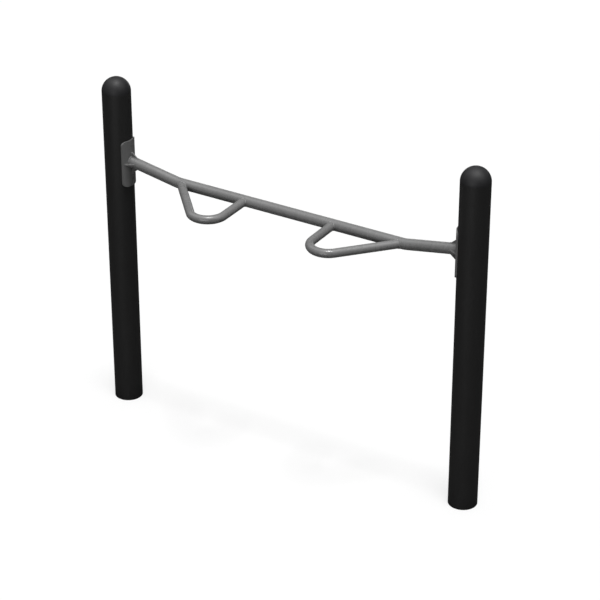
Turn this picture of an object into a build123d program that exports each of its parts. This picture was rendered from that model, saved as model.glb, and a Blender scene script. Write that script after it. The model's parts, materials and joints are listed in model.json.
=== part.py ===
"""Free-standing two-post chinning bar with two angled grip handles.

Units are millimetres and +Z is up. The origin is on the ground under the middle of the object's
box: X runs along the bar from post to post, and the handles point to the front, which is -Y.
"""
from build123d import *
from math import acos, cos, degrees, radians, sin, sqrt, tan
import os

os.makedirs("parts", exist_ok=True)

# ---------------------------------------------------------------- driving dimensions
# Posts: 5 in round steel tube with an 11 gauge wall, cut at ground level.
post_od = 127.0
post_wall = 3.05
post_spacing = 1732.0
overall_height = 1577.5

# Post caps: cast half-spheres with a skirt that drops inside the post.
cap_wall = 4.0
cap_skirt_length = 45.0
cap_skirt_clearance = 0.25
cap_skirt_lead_in = 1.5

# Blind rivets that hold each cap, one towards the other post and one away from it.
rivet_shank_d = 4.8
rivet_head_d = 9.6
rivet_head_height = 1.4
rivet_tail_d = 7.2
rivet_tail_length = 5.0
rivet_drop = 22.0

# Main bar: 1.900 in tube, level in the middle, with both ends bent upwards.
bar_od = 48.26
bar_wall = 3.05
bar_height = 1153.6
bar_bend_x = 555.5
bar_rise_angle = 10.0
bar_bend_radius = 150.0

# Grip handles: 1.5 in tube in one bend, level with the bar.
handle_od = 38.1
handle_wall = 3.05
handle_inner_x = 216.6
handle_outer_x = 543.2
handle_angle = 41.5
handle_bend_radius = 76.2

# Saddle plates: 1/4 in plate rolled to fit round the post.
plate_thickness = 6.35
plate_width = 98.4
plate_height = 215.9
plate_corner_radius = 19.05

# Gussets between each saddle plate and the bar: four to a plate, in a cross. Length is measured along X
# from the plate, and reach from the middle of the bracket. The upright pair is above and below the bar.
gusset_thickness = 6.35
upright_gusset_length = 31.75
upright_gusset_reach = 50.8
level_gusset_length = 25.4
level_gusset_reach = 41.3

# Countersunk socket screws that hold the saddle plates, and the threaded inserts they go into.
screw_offset = 76.2
screw_shank_d = 10.0
screw_head_d = 20.0
screw_head_angle = 90.0
screw_length = 32.0
screw_socket_flats = 6.0
screw_socket_depth = 3.6
screw_socket_pin_d = 2.4
insert_body_d = 14.5
insert_collar_d = 19.0
insert_collar_length = 5.0
insert_length = 24.0

# Rounding of cut edges, and a length that is sure to pass through a saddle plate.
plate_edge_round = 1.2
gusset_edge_round = 0.8
seam_edge_round = 0.5
screw_end_chamfer = 0.8
overrun = 40.0

# ---------------------------------------------------------------- sizes worked out from them
post_radius = post_od / 2
post_inner_radius = post_radius - post_wall
post_x = post_spacing / 2
post_top_z = overall_height - post_radius

plate_radius = post_radius + plate_thickness
plate_face_x = post_x - plate_radius
plate_half_angle = plate_width / (2 * (post_radius + plate_thickness / 2))
plate_half_chord = plate_radius * sin(plate_half_angle)

bar_radius = bar_od / 2
bar_slope = tan(radians(bar_rise_angle))
handle_radius = handle_od / 2

# The sloping end of the bar crosses the middle height of its bracket at the level gussets' inner ends.
bracket_z = bar_height + (plate_face_x - level_gusset_length - bar_bend_x) * bar_slope

# Apex of the handle's two straight legs before the bend is rounded, measured from the bar.
handle_apex = (handle_outer_x - handle_inner_x) / tan(radians(handle_angle))
handle_turn = radians(180.0 - handle_angle)
handle_tangent = handle_bend_radius * tan(handle_turn / 2)
handle_front = handle_apex - handle_tangent + handle_bend_radius + handle_radius

# The posts and the bar share one upright plane, set back so that the origin is mid-depth.
post_y = (handle_front - post_radius) / 2

sides = {"left": -1, "right": 1}


def bar_axis_z(distance):
    """Height of the bar's axis at this distance from mid-span, on its sloping ends."""
    return bar_height + (distance - bar_bend_x) * bar_slope


def radial_plane(side, z, inward=True):
    """Upright plane on a post's axis that faces the other post, or faces away from it."""
    facing = -side if inward else side
    return Plane(origin=(side * post_x, post_y, z), x_dir=(0, 0, 1), z_dir=(facing, 0, 0))


def seat_distance(bore_radius, seat_d):
    """How far from the axis of a bore a flat seat of this diameter touches the bore's wall."""
    return sqrt(bore_radius**2 - (seat_d / 2) ** 2)


# ---------------------------------------------------------------- solid outlines used for cutting
def bar_path():
    """Centre line of the main bar, run on past the saddle plates at both ends."""
    end_x = plate_face_x + overrun
    return FilletPolyline(
        (-end_x, post_y, bar_axis_z(end_x)),
        (-bar_bend_x, post_y, bar_height),
        (bar_bend_x, post_y, bar_height),
        (end_x, post_y, bar_axis_z(end_x)),
        radius=bar_bend_radius,
    )


with BuildPart() as bar_envelope:
    with BuildLine() as envelope_line:
        bar_path()
    with BuildSketch(Plane(origin=envelope_line.line @ 0, z_dir=envelope_line.line % 0)):
        Circle(bar_radius)
    sweep()


def add_post_cylinder(side, radius, mode):
    """Upright cylinder on a post's axis, over the whole height of a bracket."""
    with Locations((side * post_x, post_y, bracket_z)):
        Cylinder(radius, 2 * plate_height, mode=mode)


# ---------------------------------------------------------------- posts
def make_post(side):
    """Tube with holes for two inserts and two cap rivets."""
    with BuildPart() as post:
        with BuildSketch(Plane((side * post_x, post_y, 0))):
            Circle(post_radius)
            Circle(post_inner_radius, mode=Mode.SUBTRACT)
        extrude(amount=post_top_z)
        fillet(post.edges().group_by(Axis.Z)[-1].sort_by(SortBy.RADIUS)[-1], seam_edge_round)
        for offset in (-screw_offset, screw_offset):
            with BuildSketch(radial_plane(side, bracket_z + offset)):
                Circle(insert_body_d / 2)
            extrude(amount=post_od, mode=Mode.SUBTRACT)
        with BuildSketch(radial_plane(side, post_top_z - rivet_drop)):
            Circle(rivet_shank_d / 2)
        extrude(amount=post_od, both=True, mode=Mode.SUBTRACT)
    return post.part


# ---------------------------------------------------------------- post caps
def make_cap(side):
    """Hollow half-sphere that sits on the post's end, with a skirt inside the post."""
    base = (side * post_x, post_y, post_top_z)
    skirt_outer = post_inner_radius - cap_skirt_clearance
    skirt_inner = skirt_outer - cap_wall
    lead_in = skirt_outer - cap_skirt_lead_in
    dome_inner = post_radius - cap_wall
    ceiling_angle = degrees(acos(skirt_inner / dome_inner))
    with BuildPart() as cap:
        with BuildSketch(Plane(base, x_dir=(1, 0, 0), z_dir=(0, -1, 0))):
            with BuildLine():
                outer_arc = CenterArc((0, 0), post_radius, 0, 90)
                inner_arc = CenterArc((0, 0), dome_inner, ceiling_angle, 90 - ceiling_angle)
                Line(outer_arc @ 1, inner_arc @ 1)
                Polyline(
                    inner_arc @ 0,
                    (skirt_inner, -cap_skirt_length),
                    (lead_in, -cap_skirt_length),
                    (skirt_outer, cap_skirt_lead_in - cap_skirt_length),
                    (skirt_outer, 0),
                    outer_arc @ 0,
                )
            make_face()
        revolve(axis=Axis(base, (0, 0, 1)))
        rim = cap.edges().filter_by_position(Axis.Z, post_top_z, post_top_z).sort_by(SortBy.RADIUS)[-1]
        fillet(rim, seam_edge_round)
        with BuildSketch(radial_plane(side, post_top_z - rivet_drop)):
            Circle(rivet_shank_d / 2)
        extrude(amount=post_od, both=True, mode=Mode.SUBTRACT)
    return cap.part


def make_cap_rivets(side):
    """Two blind rivets: low domed head outside the post, shank, and set tail inside the skirt."""
    skirt_inner = post_inner_radius - cap_skirt_clearance - cap_wall
    tail_seat = seat_distance(skirt_inner, rivet_tail_d)
    tail_end = tail_seat - rivet_tail_length
    head_top = post_radius + rivet_head_height
    head_rim = post_radius + rivet_head_height / 2
    shank = rivet_shank_d / 2
    with BuildPart() as rivets:
        for inward in (True, False):
            place = radial_plane(side, post_top_z - rivet_drop, inward)
            with BuildSketch(Plane(place.origin, x_dir=place.z_dir, z_dir=-place.y_dir)):
                with BuildLine():
                    Polyline(
                        (head_top, 0),
                        (tail_end, 0),
                        (tail_end, shank),
                        (tail_seat - shank, rivet_tail_d / 2),
                        (tail_seat, rivet_tail_d / 2),
                        (tail_seat, shank),
                        (post_radius, shank),
                        (post_radius, rivet_head_d / 2),
                        (head_rim, rivet_head_d / 2),
                    )
                    TangentArc((head_top, 0), (head_rim, rivet_head_d / 2), tangent=(0, 1))
                make_face()
            revolve(axis=Axis(place.origin, place.z_dir))
    return rivets.part


# ---------------------------------------------------------------- main bar and handles
def make_main_bar():
    """Bent tube whose ends are cut to the outside of the saddle plates."""
    with BuildPart() as bar:
        with BuildLine() as line:
            bar_path()
        with BuildSketch(Plane(origin=line.line @ 0, z_dir=line.line % 0)):
            Circle(bar_radius)
            Circle(bar_radius - bar_wall, mode=Mode.SUBTRACT)
        sweep()
        for side in sides.values():
            add_post_cylinder(side, plate_radius, Mode.SUBTRACT)
    return bar.part


def make_handle(side):
    """Bent tube in a level plane, with both ends cut to fit on the bar."""
    with BuildPart() as handle:
        with BuildLine() as line:
            FilletPolyline(
                (side * handle_inner_x, post_y, bar_height),
                (side * handle_inner_x, post_y - handle_apex, bar_height),
                (side * handle_outer_x, post_y, bar_height),
                radius=handle_bend_radius,
            )
        with BuildSketch(Plane(origin=line.line @ 0, z_dir=line.line % 0)):
            Circle(handle_radius)
            Circle(handle_radius - handle_wall, mode=Mode.SUBTRACT)
        sweep()
        add(bar_envelope.part, mode=Mode.SUBTRACT)
    return handle.part


# ---------------------------------------------------------------- brackets
def make_saddle_plate(side):
    """Rolled plate with round corners and two countersunk holes."""
    with BuildPart() as plate:
        add_post_cylinder(side, plate_radius, Mode.ADD)
        add_post_cylinder(side, post_radius, Mode.SUBTRACT)
        with BuildSketch(radial_plane(side, bracket_z)):
            RectangleRounded(plate_height, 2 * plate_half_chord, plate_corner_radius)
        extrude(amount=post_od, mode=Mode.INTERSECT)
        outside = plate.faces().filter_by(GeomType.CYLINDER).sort_by(SortBy.AREA)[-1]
        fillet(outside.edges(), plate_edge_round)
        for offset in (-screw_offset, screw_offset):
            with Locations(radial_plane(side, bracket_z + offset).offset(plate_radius)):
                CounterSinkHole(screw_shank_d / 2, screw_head_d / 2, 2 * plate_thickness, screw_head_angle)
    return plate.part


def make_gusset(side, direction):
    """Triangle of plate between a saddle plate and the bar.

    The direction is where it stands on the bar, as a (y, z) pair: above, below, in front or behind.
    """
    out_y, out_z = direction
    centre = (side * post_x, post_y, bracket_z)
    place = Plane(centre, x_dir=(-side, 0, 0), z_dir=(0, side * out_z, -side * out_y))
    if out_z:
        bar_drop = (upright_gusset_length - level_gusset_length) * bar_slope
        bar_side = bar_radius / cos(radians(bar_rise_angle)) - out_z * bar_drop
        inner_end = (plate_radius + upright_gusset_length, bar_side)
        tip = (plate_radius, upright_gusset_reach)
    else:
        inner_end = (plate_radius + level_gusset_length, bar_radius)
        tip = (sqrt(plate_radius**2 - level_gusset_reach**2), level_gusset_reach)
    free_edge_middle = place.from_local_coords(Vector((inner_end[0] + tip[0]) / 2, (inner_end[1] + tip[1]) / 2))
    with BuildPart() as gusset:
        with BuildSketch(place):
            with BuildLine():
                Polyline((0, 0), (inner_end[0], 0), inner_end, tip, close=True)
            make_face()
        extrude(amount=gusset_thickness / 2, both=True)
        fillet(gusset.edges().sort_by_distance(free_edge_middle)[:2], gusset_edge_round)
        add_post_cylinder(side, plate_radius, Mode.SUBTRACT)
        add(bar_envelope.part, mode=Mode.SUBTRACT)
    return gusset.part


def make_screw(side, offset):
    """Countersunk screw, flush with the saddle plate, with a pinned hexagon socket."""
    place = radial_plane(side, bracket_z + offset)
    shank = screw_shank_d / 2
    head_start = plate_radius - (screw_head_d - screw_shank_d) / 2
    screw_end = plate_radius - screw_length
    with BuildPart() as screw:
        with BuildSketch(Plane(place.origin, x_dir=place.z_dir, z_dir=-place.y_dir)):
            with BuildLine():
                Polyline(
                    (screw_end, 0),
                    (screw_end, shank - screw_end_chamfer),
                    (screw_end + screw_end_chamfer, shank),
                    (head_start, shank),
                    (plate_radius, screw_head_d / 2),
                    (plate_radius, 0),
                    close=True,
                )
            make_face()
        revolve(axis=Axis(place.origin, place.z_dir))
        add_post_cylinder(side, plate_radius, Mode.INTERSECT)
        with BuildSketch(place.offset(plate_radius - screw_socket_depth)):
            RegularPolygon(screw_socket_flats / 2, 6, major_radius=False)
            Circle(screw_socket_pin_d / 2, mode=Mode.SUBTRACT)
        extrude(amount=screw_socket_depth + screw_end_chamfer, mode=Mode.SUBTRACT)
    return screw.part


def make_insert(side, offset):
    """Threaded bush in the post's wall, with a collar set against the inside of the tube."""
    place = radial_plane(side, bracket_z + offset)
    collar_seat = seat_distance(post_inner_radius, insert_collar_d)
    with BuildPart() as insert:
        with BuildSketch(place.offset(post_radius - insert_length)):
            Circle(insert_body_d / 2)
        extrude(amount=insert_length)
        with BuildSketch(place.offset(collar_seat - insert_collar_length)):
            Circle(insert_collar_d / 2)
        extrude(amount=insert_collar_length)
        with BuildSketch(place):
            Circle(screw_shank_d / 2)
        extrude(amount=post_od, mode=Mode.SUBTRACT)
        add_post_cylinder(side, post_radius, Mode.INTERSECT)
    return insert.part


# ---------------------------------------------------------------- build and write every piece
directions = {"upper": (0, 1), "lower": (0, -1), "front": (-1, 0), "rear": (1, 0)}
heights = {"upper": screw_offset, "lower": -screw_offset}
pieces = {"main_bar": make_main_bar()}

for side_name, side in sides.items():
    pieces[f"{side_name}_post"] = make_post(side)
    pieces[f"{side_name}_post_cap"] = make_cap(side)
    pieces[f"{side_name}_cap_rivets"] = make_cap_rivets(side)
    pieces[f"{side_name}_handle"] = make_handle(side)
    pieces[f"{side_name}_saddle_plate"] = make_saddle_plate(side)
    for place_name, direction in directions.items():
        pieces[f"{side_name}_{place_name}_gusset"] = make_gusset(side, direction)
    for place_name, offset in heights.items():
        pieces[f"{side_name}_{place_name}_screw"] = make_screw(side, offset)
        pieces[f"{side_name}_{place_name}_insert"] = make_insert(side, offset)

for name, piece in pieces.items():
    piece.label = name
    export_step(piece, f"parts/{name}.step")
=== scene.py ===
"""Looks of a two-post chinning bar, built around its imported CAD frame.

Everything is in metres in the CAD's own frame: +Z is up, X runs from post to post and the grip handles
point to the front, which is -Y. The CAD nodes keep their meshes and get procedural finishes. The weld
beads, which the CAD leaves out, are modelled here.
"""

import json
from math import asin, cos, pi, radians, sin, sqrt

import bmesh
import bpy
from mathutils import Matrix, Vector, noise


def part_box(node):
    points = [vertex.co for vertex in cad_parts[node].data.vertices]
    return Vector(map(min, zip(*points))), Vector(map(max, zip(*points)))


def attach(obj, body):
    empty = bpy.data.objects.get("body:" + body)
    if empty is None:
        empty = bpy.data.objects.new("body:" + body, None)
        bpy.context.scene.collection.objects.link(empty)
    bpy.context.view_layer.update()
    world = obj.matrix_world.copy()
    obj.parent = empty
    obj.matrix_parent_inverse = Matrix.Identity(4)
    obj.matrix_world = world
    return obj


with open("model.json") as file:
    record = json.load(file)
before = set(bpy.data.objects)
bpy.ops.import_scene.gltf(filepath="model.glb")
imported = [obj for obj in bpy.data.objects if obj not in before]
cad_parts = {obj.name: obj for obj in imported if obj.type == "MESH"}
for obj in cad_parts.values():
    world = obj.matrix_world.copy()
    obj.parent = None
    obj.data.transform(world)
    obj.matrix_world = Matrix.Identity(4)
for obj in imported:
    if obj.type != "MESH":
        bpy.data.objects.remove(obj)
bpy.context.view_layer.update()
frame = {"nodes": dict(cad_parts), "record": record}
nodes = frame["nodes"]
sides = {"left": -1, "right": 1}

# ---------------------------------------------------------------- places read from the frame
post_low, post_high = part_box("right_post")
bar_low, bar_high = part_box("main_bar")
handle_low, handle_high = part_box("right_handle")
upper_gusset_low, upper_gusset_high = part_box("right_upper_gusset")
front_gusset_low, front_gusset_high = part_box("right_front_gusset")

post_x = (post_low.x + post_high.x) / 2
post_y = (post_low.y + post_high.y) / 2
post_radius = (post_high.x - post_low.x) / 2
plate_face_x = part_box("right_saddle_plate")[0].x
plate_radius = post_x - plate_face_x
bar_radius = (bar_high.y - bar_low.y) / 2
bar_z = bar_low.z + bar_radius
handle_radius = (handle_high.z - handle_low.z) / 2
handle_inner_x = handle_low.x + handle_radius

# The upright gussets have the upper one's length and reach, and the level ones have the front one's.
bracket_z = (front_gusset_low.z + front_gusset_high.z) / 2
gusset_half = (front_gusset_high.z - front_gusset_low.z) / 2
upright_inner_x = upper_gusset_low.x
upright_reach = upper_gusset_high.z - bracket_z
level_inner_x = front_gusset_low.x
level_reach = post_y - front_gusset_low.y

# Dimensions that no box gives: where the axis of a handle's outer leg meets the bar's and its angle
# there, how steeply the bar's ends rise, and the wall of the posts.
handle_outer_x = 0.5432
handle_angle = radians(41.5)
bar_rise = radians(10)
post_wall = 0.00305

# The bar's sloping axis passes the middle height of its bracket at the front gusset's inner end.
bracket_crossing_x = level_inner_x


# ---------------------------------------------------------------- camera, light and floor
light_aim = Vector((0, post_y, 0.8))
light_distance = 7
ceiling_falloff = 4
floor_reach = 60
floor_lap = 0.0003


def grey(level, blue=1.0):
    return (level, level, level * blue, 1)


def studio_direction(azimuth, elevation):
    """Unit vector towards a place in the studio. Azimuth 0 is the front, 90 is to the right (+X)."""
    turn = radians(azimuth)
    rise = radians(elevation)
    return Vector((sin(turn) * cos(rise), -cos(turn) * cos(rise), sin(rise)))


def add_camera(aim, azimuth, elevation, distance, lens):
    towards = studio_direction(azimuth, elevation)
    data = bpy.data.cameras.new("camera")
    data.sensor_width = 36
    data.lens = lens
    camera = bpy.data.objects.new("camera", data)
    camera.location = aim + distance * towards
    camera.rotation_euler = towards.to_track_quat("Z", "Y").to_euler()
    bpy.context.scene.collection.objects.link(camera)
    bpy.context.scene.camera = camera


def place_light(data, azimuth, elevation):
    towards = studio_direction(azimuth, elevation)
    light = bpy.data.objects.new(data.name, data)
    light.location = light_aim + light_distance * towards
    light.rotation_euler = towards.to_track_quat("Z", "Y").to_euler()
    light.visible_camera = False
    bpy.context.scene.collection.objects.link(light)


def add_softbox(name, azimuth, elevation, width, height, radiance):
    """Oval soft light that faces the object. Radiance is the brightness of its face."""
    data = bpy.data.lights.new(name, "AREA")
    data.shape = "ELLIPSE"
    data.size = width
    data.size_y = height
    face_area = pi * width * height / 4
    data.energy = pi * face_area * radiance
    place_light(data, azimuth, elevation)


def add_key(azimuth, elevation, width, irradiance):
    """Even overhead light. Width is the angle in degrees that it fills, which softens its shadows."""
    data = bpy.data.lights.new("key", "SUN")
    data.angle = radians(width)
    data.energy = irradiance
    place_light(data, azimuth, elevation)


def make_world(overhead, room):
    """White to the camera. To the object it is a dim room whose ceiling glows, most of all at the top."""
    world = bpy.data.worlds.new("studio")
    world.use_nodes = True
    tree = world.node_tree
    tree.nodes.clear()
    output = tree.nodes.new("ShaderNodeOutputWorld")
    mix = tree.nodes.new("ShaderNodeMixShader")
    path = tree.nodes.new("ShaderNodeLightPath")
    backdrop = tree.nodes.new("ShaderNodeBackground")
    backdrop.inputs["Color"].default_value = grey(1)
    ceiling = tree.nodes.new("ShaderNodeBackground")
    ceiling.inputs["Color"].default_value = grey(1)
    coordinates = tree.nodes.new("ShaderNodeTexCoord")
    split = tree.nodes.new("ShaderNodeSeparateXYZ")
    height = tree.nodes.new("ShaderNodeMath")
    height.operation = "MAXIMUM"
    height.inputs[1].default_value = 0
    power = tree.nodes.new("ShaderNodeMath")
    power.operation = "POWER"
    power.inputs[1].default_value = ceiling_falloff
    scale = tree.nodes.new("ShaderNodeMath")
    scale.operation = "MULTIPLY_ADD"
    scale.inputs[1].default_value = overhead
    scale.inputs[2].default_value = room
    link = tree.links.new
    link(coordinates.outputs["Generated"], split.inputs[0])
    link(split.outputs["Z"], height.inputs[0])
    link(height.outputs[0], power.inputs[0])
    link(power.outputs[0], scale.inputs[0])
    link(scale.outputs[0], ceiling.inputs["Strength"])
    link(path.outputs["Is Camera Ray"], mix.inputs["Fac"])
    link(ceiling.outputs[0], mix.inputs[1])
    link(backdrop.outputs[0], mix.inputs[2])
    link(mix.outputs[0], output.inputs["Surface"])
    bpy.context.scene.world = world


def floor_mesh():
    """Wide square at ground level, open under each post to just inside the post's outline."""
    outline = bmesh.new()
    places = ((-1, -1), (1, -1), (1, 1), (-1, 1))
    corners = [outline.verts.new((floor_reach * x, floor_reach * y, 0)) for x, y in places]
    for corner, following in zip(corners, corners[1:] + corners[:1]):
        outline.edges.new((corner, following))
    for side in sides.values():
        centre = Matrix.Translation((side * post_x, post_y, 0))
        bmesh.ops.create_circle(outline, segments=96, radius=post_radius - floor_lap, matrix=centre)
    bmesh.ops.triangle_fill(outline, use_beauty=True, edges=outline.edges[:], normal=(0, 0, 1))
    mesh = bpy.data.meshes.new("floor")
    outline.to_mesh(mesh)
    outline.free()
    return mesh


def floor_material(glow, shade, bounce):
    """An even glow, and a matt share of this shade that takes shadows.

    What the object receives from it is a dimmer matt bounce. It can't be seen from below.
    """
    material = bpy.data.materials.new("floor")
    material.use_nodes = True
    tree = material.node_tree
    tree.nodes.clear()
    output = tree.nodes.new("ShaderNodeOutputMaterial")
    seen = tree.nodes.new("ShaderNodeAddShader")
    emission = tree.nodes.new("ShaderNodeEmission")
    emission.inputs["Strength"].default_value = glow
    matt = tree.nodes.new("ShaderNodeBsdfDiffuse")
    matt.inputs["Color"].default_value = grey(shade)
    dim_matt = tree.nodes.new("ShaderNodeBsdfDiffuse")
    dim_matt.inputs["Color"].default_value = grey(bounce)
    by_ray = tree.nodes.new("ShaderNodeMixShader")
    by_side = tree.nodes.new("ShaderNodeMixShader")
    link = tree.links.new
    link(emission.outputs[0], seen.inputs[0])
    link(matt.outputs[0], seen.inputs[1])
    link(tree.nodes.new("ShaderNodeLightPath").outputs["Is Camera Ray"], by_ray.inputs["Fac"])
    link(dim_matt.outputs[0], by_ray.inputs[1])
    link(seen.outputs[0], by_ray.inputs[2])
    link(tree.nodes.new("ShaderNodeNewGeometry").outputs["Backfacing"], by_side.inputs["Fac"])
    link(by_ray.outputs[0], by_side.inputs[1])
    link(tree.nodes.new("ShaderNodeBsdfTransparent").outputs[0], by_side.inputs[2])
    link(by_side.outputs[0], output.inputs["Surface"])
    return material


def add_floor(glow, shade, bounce):
    """Pale floor. Its openings let light from below into the posts, which shows what they are inside."""
    mesh = floor_mesh()
    mesh.materials.append(floor_material(glow, shade, bounce))
    floor = bpy.data.objects.new("floor", mesh)
    bpy.context.scene.collection.objects.link(floor)


# ---------------------------------------------------------------- finishes
class Finish:
    """A Principled material with helpers for the procedural textures that the finishes share."""

    def __init__(self, name, roughness, metallic=0.0):
        self.material = bpy.data.materials.new(name)
        self.material.use_nodes = True
        self.tree = self.material.node_tree
        self.shader = self.tree.nodes["Principled BSDF"]
        self.shader.inputs["Roughness"].default_value = roughness
        self.shader.inputs["Metallic"].default_value = metallic
        self.place = self.tree.nodes.new("ShaderNodeTexCoord").outputs["Object"]

    def node(self, kind, **inputs):
        """New node. Its inputs are given by name, or by number as in _0."""
        made = self.tree.nodes.new(kind)
        for key, value in inputs.items():
            socket = made.inputs[int(key[1:])] if key[0] == "_" else made.inputs[key]
            self.feed(value, socket)
        return made

    def feed(self, value, socket):
        """Links an output to the socket, or sets a constant on it."""
        if isinstance(value, bpy.types.NodeSocket):
            self.tree.links.new(value, socket)
        else:
            socket.default_value = value

    def noise(self, size, detail=2.0, roughness=0.5):
        """Smooth noise, 0 to 1, whose features are about this size in metres."""
        made = self.node("ShaderNodeTexNoise", Vector=self.place, Scale=1 / size, Detail=detail)
        made.inputs["Roughness"].default_value = roughness
        return made.outputs["Fac"]

    def spread(self, value, low, high, to_low=0.0, to_high=1.0):
        """Stretches the range from low to high over the range from to_low to to_high, and stops there."""
        made = self.node("ShaderNodeMapRange", Value=value)
        self.feed(low, made.inputs["From Min"])
        self.feed(high, made.inputs["From Max"])
        self.feed(to_low, made.inputs["To Min"])
        self.feed(to_high, made.inputs["To Max"])
        return made.outputs["Result"]

    def math(self, operation, a, b=0.0):
        made = self.node("ShaderNodeMath", _0=a, _1=b)
        made.operation = operation
        return made.outputs[0]

    def times(self, a, b):
        return self.math("MULTIPLY", a, b)

    def mix(self, share, a, b):
        """Colour a, turning to colour b as share goes from 0 to 1."""
        made = self.tree.nodes.new("ShaderNodeMix")
        made.data_type = "RGBA"
        for socket, value in ((made.inputs[0], share), (made.inputs[6], a), (made.inputs[7], b)):
            self.feed(value, socket)
        return made.outputs[2]

    def bump(self, height, distance, normal=None):
        made = self.node("ShaderNodeBump", Height=height, Distance=distance)
        if normal:
            self.feed(normal, made.inputs["Normal"])
        return made.outputs["Normal"]

    def edges(self, width):
        """0 on open surfaces and 1 on outer edges and in corners, out to this distance from them."""
        bevel = self.node("ShaderNodeBevel", Radius=width)
        bevel.samples = 6
        true = self.tree.nodes.new("ShaderNodeNewGeometry").outputs["Normal"]
        dot = self.node("ShaderNodeVectorMath", _0=bevel.outputs[0], _1=true)
        dot.operation = "DOT_PRODUCT"
        return self.spread(dot.outputs["Value"], 0.985, 0.80)

    def corners(self, reach):
        """0 on open surfaces and 1 deep in corners, where other surfaces stand within this reach."""
        open_sky = self.node("ShaderNodeAmbientOcclusion", Distance=reach)
        open_sky.samples = 8
        return self.spread(open_sky.outputs["AO"], 0.85, 0.25)

    def upward(self):
        """0 on faces that look sideways or down, 1 on faces that look up."""
        normal = self.tree.nodes.new("ShaderNodeNewGeometry").outputs["Normal"]
        return self.spread(self.node("ShaderNodeSeparateXYZ", _0=normal).outputs["Z"], 0.35, 1.0)

    def scratches(self, width, length, patch_size):
        """Sparse hairlines, 0 to 1, that lie in many directions and keep to patches of this size."""
        wander = self.noise(length, detail=0)
        turned = self.node("ShaderNodeVectorRotate", Vector=self.place, Axis=(0.4, 0.3, 0.87))
        self.feed(self.times(wander, 2.5), turned.inputs["Angle"])
        stretch = self.node("ShaderNodeMapping", Vector=turned.outputs[0])
        stretch.inputs["Scale"].default_value = (1 / width, 1 / length, 1 / length)
        made = self.node("ShaderNodeTexNoise", Vector=stretch.outputs[0], Scale=1.0, Detail=1.0)
        lines = self.spread(made.outputs["Fac"], 0.66, 0.74)
        patches = self.spread(self.noise(patch_size), 0.5, 0.65)
        return self.times(lines, patches)

    def streaks(self, width, length):
        """Noise drawn out upright, as rain leaves it."""
        stretch = self.node("ShaderNodeMapping", Vector=self.place)
        stretch.inputs["Scale"].default_value = (1 / width, 1 / width, 1 / length)
        made = self.node("ShaderNodeTexNoise", Vector=stretch.outputs[0], Scale=1.0, Detail=3.0)
        return made.outputs["Fac"]


# Powder coat: the sizes of its marks, and how much of each shows.
cloud_size = 0.16
streak_width = 0.018
streak_length = 0.5
streak_amount = 0.12
fleck_size = 0.0011
fleck_amount = 0.22
rubbed_width = 0.0014
rubbed_patch_size = 0.006
rubbed_amount = 0.35
dust_patch_size = 0.05
dust_amount = 0.04
dust_colour = (0.42, 0.40, 0.37, 1)
# Patches that make the painted shade in corners stronger in some places than in others.
corner_shade_patch_size = 0.008
gloss_patch_size = 0.03
peel_size = 0.0034
grain_size = 0.0009
scratch_width = 0.0006
scratch_length = 0.030
scratch_patch_size = 0.05
scratch_depth = 0.00002

# Zinc plate: the sizes of its marks.
stain_size = 0.004
plate_worn_width = 0.0006
plate_worn_patch_size = 0.002
plate_gloss_patch_size = 0.0015
plate_grain_size = 0.0005
plate_grain_depth = 0.00001

# Bare galvanised steel: its crystals, and the ragged line where the paint ends.
spangle_size = 0.007
paint_end_patch_size = 0.004
paint_end_width = 0.0004


def powder_coat(name, level, roughness, peel, blue=1.0, corner_shade=0.5, corner_reach=0.03, specular=0.5):
    """Baked powder paint.

    It has slight clouding and rain streaks, fine fleck, orange peel of the given height, thin rubbed
    edges, hairlines and dust on faces that look up. Its colour is also darkened in corners, where other
    surfaces stand close: this darkening is painted shade.
    """
    coat = Finish(name, roughness)

    def paint_grey(times):
        return grey(level * times, blue)

    cloud = coat.spread(coat.noise(cloud_size, 3), 0.3, 0.7)
    streak = coat.spread(coat.streaks(streak_width, streak_length), 0.45, 0.75)
    fleck = coat.spread(coat.noise(fleck_size, 1), 0.35, 0.65)
    rubbed_patches = coat.spread(coat.noise(rubbed_patch_size, 3), 0.42, 0.62)
    rubbed = coat.times(coat.edges(rubbed_width), rubbed_patches)
    dust_patches = coat.spread(coat.noise(dust_patch_size, 4, 0.65), 0.45, 0.8)
    dust = coat.times(coat.upward(), dust_patches)
    # Painted shade: the paint turns towards near-black where other surfaces stand close, in corners, between
    # parts and near the ground, more in some patches than in others.
    corner_shade_patches = coat.spread(coat.noise(corner_shade_patch_size, 3), 0.2, 0.6, 0.75, 1.0)
    corner = coat.times(coat.corners(corner_reach), corner_shade_patches)

    paint = coat.mix(cloud, paint_grey(0.93), paint_grey(1.07))
    paint = coat.mix(coat.times(streak, streak_amount), paint, paint_grey(1.7))
    paint = coat.mix(coat.times(fleck, fleck_amount), paint, paint_grey(1.6))
    paint = coat.mix(coat.times(rubbed, rubbed_amount), paint, grey(level * 2.0 + 0.02, blue))
    paint = coat.mix(coat.times(dust, dust_amount), paint, dust_colour)
    # Mixes in the painted shade in corners.
    paint = coat.mix(coat.times(corner, corner_shade), paint, grey(level * 0.12, blue * 0.95))
    coat.feed(paint, coat.shader.inputs["Base Color"])

    rough = coat.spread(coat.noise(gloss_patch_size, 4, 0.6), 0.3, 0.7, roughness - 0.04, roughness + 0.04)
    for mark, rise in ((streak, 0.05), (dust, 0.12), (corner, 0.20), (rubbed, -0.06)):
        rough = coat.math("ADD", rough, coat.times(mark, rise))
    coat.feed(rough, coat.shader.inputs["Roughness"])
    coat.shader.inputs["Specular IOR Level"].default_value = specular

    orange_peel = coat.bump(coat.noise(peel_size, 1), peel)
    grain = coat.bump(coat.noise(grain_size, 1), peel * 0.20, orange_peel)
    scratch = coat.scratches(scratch_width, scratch_length, scratch_patch_size)
    coat.feed(coat.bump(scratch, -scratch_depth, grain), coat.shader.inputs["Normal"])
    return coat


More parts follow.
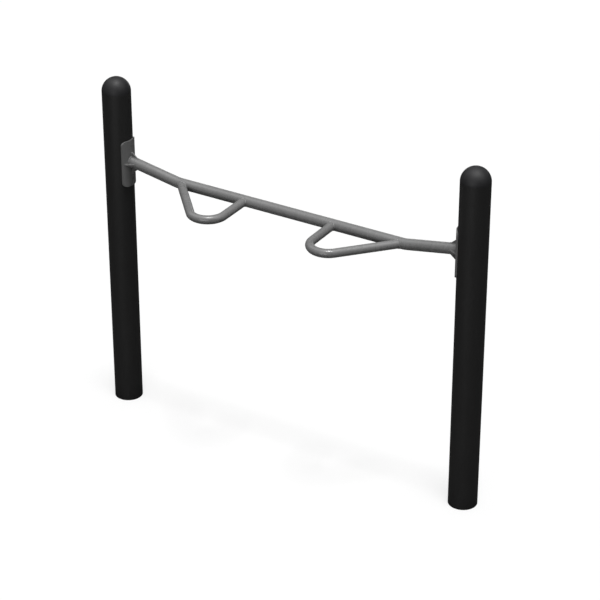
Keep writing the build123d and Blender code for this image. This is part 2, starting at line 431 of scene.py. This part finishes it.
def plated_steel(name, level, roughness):
    """Zinc plated steel with stains, bright worn edges and a fine grain."""
    steel = Finish(name, roughness, metallic=1.0)
    stain = steel.spread(steel.noise(stain_size, 4), 0.35, 0.7)
    metal = steel.mix(stain, grey(level * 1.15), grey(level * 0.7))
    worn_patches = steel.spread(steel.noise(plate_worn_patch_size, 2), 0.35, 0.6)
    worn = steel.times(steel.edges(plate_worn_width), worn_patches)
    metal = steel.mix(steel.times(worn, 0.6), metal, grey(min(1.0, level * 2)))
    steel.feed(metal, steel.shader.inputs["Base Color"])
    gloss_patches = steel.noise(plate_gloss_patch_size, 2)
    rough = steel.spread(gloss_patches, 0.3, 0.7, roughness - 0.07, roughness + 0.07)
    steel.feed(rough, steel.shader.inputs["Roughness"])
    grain = steel.bump(steel.noise(plate_grain_size, 2), plate_grain_depth)
    steel.feed(grain, steel.shader.inputs["Normal"])
    return steel


def bare_inside(coat, wall):
    """Leaves the inside of the posts and half of their cut rims as bare galvanised steel."""
    split = coat.node("ShaderNodeSeparateXYZ", _0=coat.place)
    from_axis = coat.math("SUBTRACT", coat.math("ABSOLUTE", split.outputs["X"]), post_x)
    behind_axis = coat.math("SUBTRACT", split.outputs["Y"], post_y)
    across = coat.node("ShaderNodeCombineXYZ", X=from_axis, Y=behind_axis)
    radius = coat.node("ShaderNodeVectorMath", _0=across.outputs[0])
    radius.operation = "LENGTH"
    patches = coat.noise(paint_end_patch_size, 2)
    ragged = coat.spread(patches, 0.3, 0.7, -paint_end_width, paint_end_width)
    paint_end = post_radius - 0.5 * wall
    from_centre = coat.math("ADD", radius.outputs["Value"], ragged)
    inside = coat.spread(from_centre, paint_end, paint_end - paint_end_width)
    spangle = coat.node("ShaderNodeTexVoronoi", Vector=coat.place, Scale=1 / spangle_size)
    zinc = coat.mix(spangle.outputs["Distance"], grey(0.30, 1.03), grey(0.48, 1.03))
    paint = coat.shader.inputs["Base Color"].links[0].from_socket
    rough = coat.shader.inputs["Roughness"].links[0].from_socket
    coat.feed(coat.mix(inside, paint, zinc), coat.shader.inputs["Base Color"])
    coat.feed(coat.spread(inside, 0.0, 1.0, rough, 0.42), coat.shader.inputs["Roughness"])
    coat.feed(coat.times(inside, 0.75), coat.shader.inputs["Metallic"])


# The posts and brackets take the most painted shade in their corners. The posts' long reach also darkens
# them next to the brackets and near the ground, as painted shade.
finishes = {
    "post_paint": powder_coat("post_paint", 0.018, 0.48, 0.00012, corner_shade=0.9, corner_reach=0.12),
    "cap_paint": powder_coat("cap_paint", 0.016, 0.55, 0.00012, blue=1.10),
    "rivet_metal": powder_coat("rivet_metal", 0.022, 0.45, 0.00003),
    "bracket_paint": powder_coat("bracket_paint", 0.175, 0.34, 0.00010, corner_shade=0.9, corner_reach=0.045),
    "bar_paint": powder_coat("bar_paint", 0.195, 0.26, 0.00008, corner_shade=0.75, specular=0.75),
    "handle_paint": powder_coat("handle_paint", 0.195, 0.26, 0.00008, corner_shade=0.75, specular=0.75),
    "screw_steel": powder_coat("screw_steel", 0.165, 0.40, 0.00003, corner_shade=0.2),
    "insert_steel": plated_steel("insert_steel", 0.55, 0.35),
}
bare_inside(finishes["post_paint"], post_wall)
for part in frame["record"]["subparts"]:
    nodes[part["node"]].data.materials[0] = finishes[part["material_slot"]].material

# ---------------------------------------------------------------- weld beads
# A leg is how far a bead reaches out over each of the two surfaces that it joins.
handle_weld_leg = 0.0036
bar_weld_leg = 0.0038
gusset_weld_leg = 0.0024
bead_pitch = 0.0021
bead_step = 0.00032
bead_columns = 9
ripple_height = 0.00016
seam_sink = 0.00045

# How far a gusset's beads stop short of its tip and of its inner end.
tip_gap = 0.001
inner_gap = 0.0006

# Steps along a seam, as shares of it: to measure its length, and to find its direction at a point.
length_steps = 200
direction_step = 0.002


def bead_section(point, normal_a, normal_b, along, leg, ripple):
    """Points round one section of a fillet bead, from its foot on surface b to its foot on surface a."""
    foot_a = normal_a.cross(along)
    foot_a *= 1 if foot_a.dot(normal_b) > 0 else -1
    foot_b = normal_b.cross(along)
    foot_b *= 1 if foot_b.dot(normal_a) > 0 else -1
    out = (normal_a + normal_b).normalized()
    start = point + leg * foot_b - seam_sink * normal_b
    end = point + leg * foot_a - seam_sink * normal_a
    crown = 0.20 * (end - start).length
    section = []
    for i in range(bead_columns):
        across = i / (bead_columns - 1)
        arch = 4 * across * (1 - across)
        section.append(start.lerp(end, across) + out * arch * (crown + ripple(arch)))
    section.append(point + 0.4 * leg * foot_a - 0.4 * leg * normal_a)
    section.append(point - 0.5 * leg * out)
    section.append(point + 0.4 * leg * foot_b - 0.4 * leg * normal_b)
    return section


def seam_direction(path, share, closed):
    """Unit vector along the seam at this share of it."""
    ahead = share + direction_step
    behind = share - direction_step
    if closed:
        return (path(ahead % 1)[0] - path(behind % 1)[0]).normalized()
    return (path(min(ahead, 1))[0] - path(max(behind, 0))[0]).normalized()


def add_bead(mesh, path, leg, closed, seed):
    """Sweeps one rippled bead along a seam. The path gives (point, normal a, normal b) for 0 to 1.

    Its width wanders with noise read round a circle, so that a closed bead meets itself.
    """
    samples = [path(i / length_steps)[0] for i in range(length_steps + 1)]
    length = sum((b - a).length for a, b in zip(samples, samples[1:]))
    count = max(8, round(length / bead_step))
    waves = max(1, round(length / bead_pitch))
    rows = []
    for i in range(count if closed else count + 1):
        share = i / count
        place = Vector((seed * 7.3, 9 * sin(2 * pi * share), 9 * cos(2 * pi * share)))
        wander = noise.noise(place)
        size = leg * (1 + 0.10 * wander)
        if not closed:
            end_gap = min(share, 1 - share) * length / leg
            size *= sqrt(max(0.02, 1 - (1 - min(end_gap, 1)) ** 2))

        def ripple(arch):
            turn = 2 * pi * (waves * share + 0.35 * wander) - 1.9 * arch
            return ripple_height * (sin(turn) + 0.35 * sin(2 * turn + 0.8)) * size / leg

        point, normal_a, normal_b = path(share)
        along = seam_direction(path, share, closed)
        section = bead_section(point, normal_a, normal_b, along, size, ripple)
        rows.append([mesh.verts.new(p) for p in section])
    around = len(rows[0])
    pairs = list(zip(rows, rows[1:] + rows[:1])) if closed else list(zip(rows, rows[1:]))
    for row, following in pairs:
        for j in range(around):
            k = (j + 1) % around
            mesh.faces.new((row[j], row[k], following[k], following[j]))
    if not closed:
        mesh.faces.new(reversed(rows[0]))
        mesh.faces.new(rows[-1])


def make_weld(name, slot, beads):
    """One piece from the beads of a joint. Each bead is (path, leg, closed)."""
    mesh = bmesh.new()
    for seed, (path, leg, closed) in enumerate(beads):
        add_bead(mesh, path, leg, closed, seed)
    bmesh.ops.recalc_face_normals(mesh, faces=mesh.faces)
    data = bpy.data.meshes.new(name)
    mesh.to_mesh(data)
    mesh.free()
    data.shade_smooth()
    data.materials.append(finishes[slot].material)
    weld = bpy.data.objects.new(name, data)
    bpy.context.scene.collection.objects.link(weld)
    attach(weld, "root")


def handle_seam(axis_x, towards_bend):
    """Where a handle's leg meets the bar: the leg's axis crosses the bar's at axis_x and leaves as given."""
    sideways = Vector((0, 0, 1)).cross(towards_bend)

    def path(share):
        turn = 2 * pi * share
        spoke = cos(turn) * sideways + sin(turn) * Vector((0, 0, 1))
        ring = handle_radius * spoke
        depth = sqrt(bar_radius**2 - ring.z**2)
        travel = (-depth - ring.y) / towards_bend.y
        point = Vector((axis_x, post_y, bar_z)) + ring + travel * towards_bend
        bar_normal = Vector((0, point.y - post_y, point.z - bar_z)).normalized()
        return point, bar_normal, spoke

    return path


def bar_frame(side):
    """On a bar's sloping end: a point of its axis, its direction towards the post, and its own upward."""
    towards_post = Vector((side * cos(bar_rise), 0, sin(bar_rise)))
    upwards = Vector((-side * sin(bar_rise), 0, cos(bar_rise)))
    crossing = Vector((side * bracket_crossing_x, post_y, bracket_z))
    return crossing, towards_post, upwards


def bar_seam(side):
    """Where the bar's sloping end meets the saddle plate, once round the bar."""
    crossing, towards_post, upwards = bar_frame(side)

    def path(share):
        turn = 2 * pi * share
        spoke = cos(turn) * Vector((0, 1, 0)) + sin(turn) * upwards
        ring = crossing + bar_radius * spoke
        plate_x = side * (post_x - sqrt(plate_radius**2 - (ring.y - post_y) ** 2))
        point = ring + (plate_x - ring.x) / towards_post.x * towards_post
        plate_normal = Vector((point.x - side * post_x, point.y - post_y, 0)).normalized()
        return point, spoke, plate_normal

    return path


def plate_seam(side, direction, face):
    """Where one face of a gusset meets the saddle plate, from the bar outwards to the gusset's tip."""
    out_y, out_z = direction
    gusset_normal = Vector((0, face, 0)) if out_z else Vector((0, 0, face))
    reach = upright_reach if out_z else level_reach

    def path(share):
        out = bar_radius + share * (reach - bar_radius - tip_gap)
        y = out_y * out if out_y else face * gusset_half
        z = out_z * out if out_z else face * gusset_half
        normal = Vector((-side * sqrt(plate_radius**2 - y**2), y, 0)) / plate_radius
        point = Vector((side * post_x, post_y, bracket_z + z)) + plate_radius * normal
        return point, normal, gusset_normal

    return path


def rib_seam(side, direction, face):
    """Where one face of a gusset meets the bar, from the saddle plate to the gusset's inner end."""
    out_y, out_z = direction
    crossing, towards_post, upwards = bar_frame(side)
    inner_end = upright_inner_x if out_z else level_inner_x
    gusset_normal = Vector((0, face, 0)) if out_z else Vector((0, 0, face))

    def path(share):
        x = inner_end + inner_gap + (1 - share) * (plate_face_x - inner_end)
        axis = crossing + (x - bracket_crossing_x) / cos(bar_rise) * towards_post
        if out_z:
            lean = asin(gusset_half / bar_radius)
            spoke = sin(lean) * Vector((0, face, 0)) + cos(lean) * out_z * upwards
            return axis + bar_radius * spoke, spoke, gusset_normal
        rise = (bracket_z + face * gusset_half - axis.z) * cos(bar_rise)
        spoke = (sqrt(bar_radius**2 - rise**2) * Vector((0, out_y, 0)) + rise * upwards) / bar_radius
        return axis + bar_radius * spoke, spoke, gusset_normal

    return path


# Which way each gusset stands out from the bar, in Y and Z.
gusset_directions = {"upper": (0, 1), "lower": (0, -1), "front": (-1, 0), "rear": (1, 0)}
for side_name, side in sides.items():
    inner_leg = Vector((0, -1, 0))
    outer_leg = Vector((-side * sin(handle_angle), -cos(handle_angle), 0))
    inner_joint = (handle_seam(side * handle_inner_x, inner_leg), handle_weld_leg, True)
    outer_joint = (handle_seam(side * handle_outer_x, outer_leg), handle_weld_leg, True)
    make_weld(f"{side_name}_inner_handle_weld", "handle_paint", [inner_joint])
    make_weld(f"{side_name}_outer_handle_weld", "handle_paint", [outer_joint])
    make_weld(f"{side_name}_bar_weld", "bar_paint", [(bar_seam(side), bar_weld_leg, True)])
    for place_name, direction in gusset_directions.items():
        seams = []
        for face in (-1, 1):
            seams.append((plate_seam(side, direction, face), gusset_weld_leg, False))
            seams.append((rib_seam(side, direction, face), gusset_weld_leg, False))
        make_weld(f"{side_name}_{place_name}_gusset_weld", "bracket_paint", seams)

# ---------------------------------------------------------------- the studio
make_world(overhead=1.35, room=0.03)
add_floor(glow=0.708, shade=0.27, bounce=0.06)
add_camera(Vector((0.0558, post_y, 0.7515)), azimuth=31.188, elevation=28.700, distance=9.5863, lens=134.75)
add_key(azimuth=50, elevation=83.7, width=9.5, irradiance=1.7)
add_softbox("front_box", azimuth=8, elevation=12, width=5.5, height=3.2, radiance=2.2)
add_softbox("right_box", azimuth=90, elevation=45, width=4.5, height=4.5, radiance=0.8)
add_softbox("rear_box", azimuth=200, elevation=4, width=5.5, height=1.7, radiance=1.6)
add_softbox("left_box", azimuth=270, elevation=45, width=4.5, height=4.5, radiance=0.6)
add_softbox("under_box", azimuth=31, elevation=-50, width=4.0, height=4.0, radiance=20)
bpy.context.scene.view_settings.view_transform = "Standard"
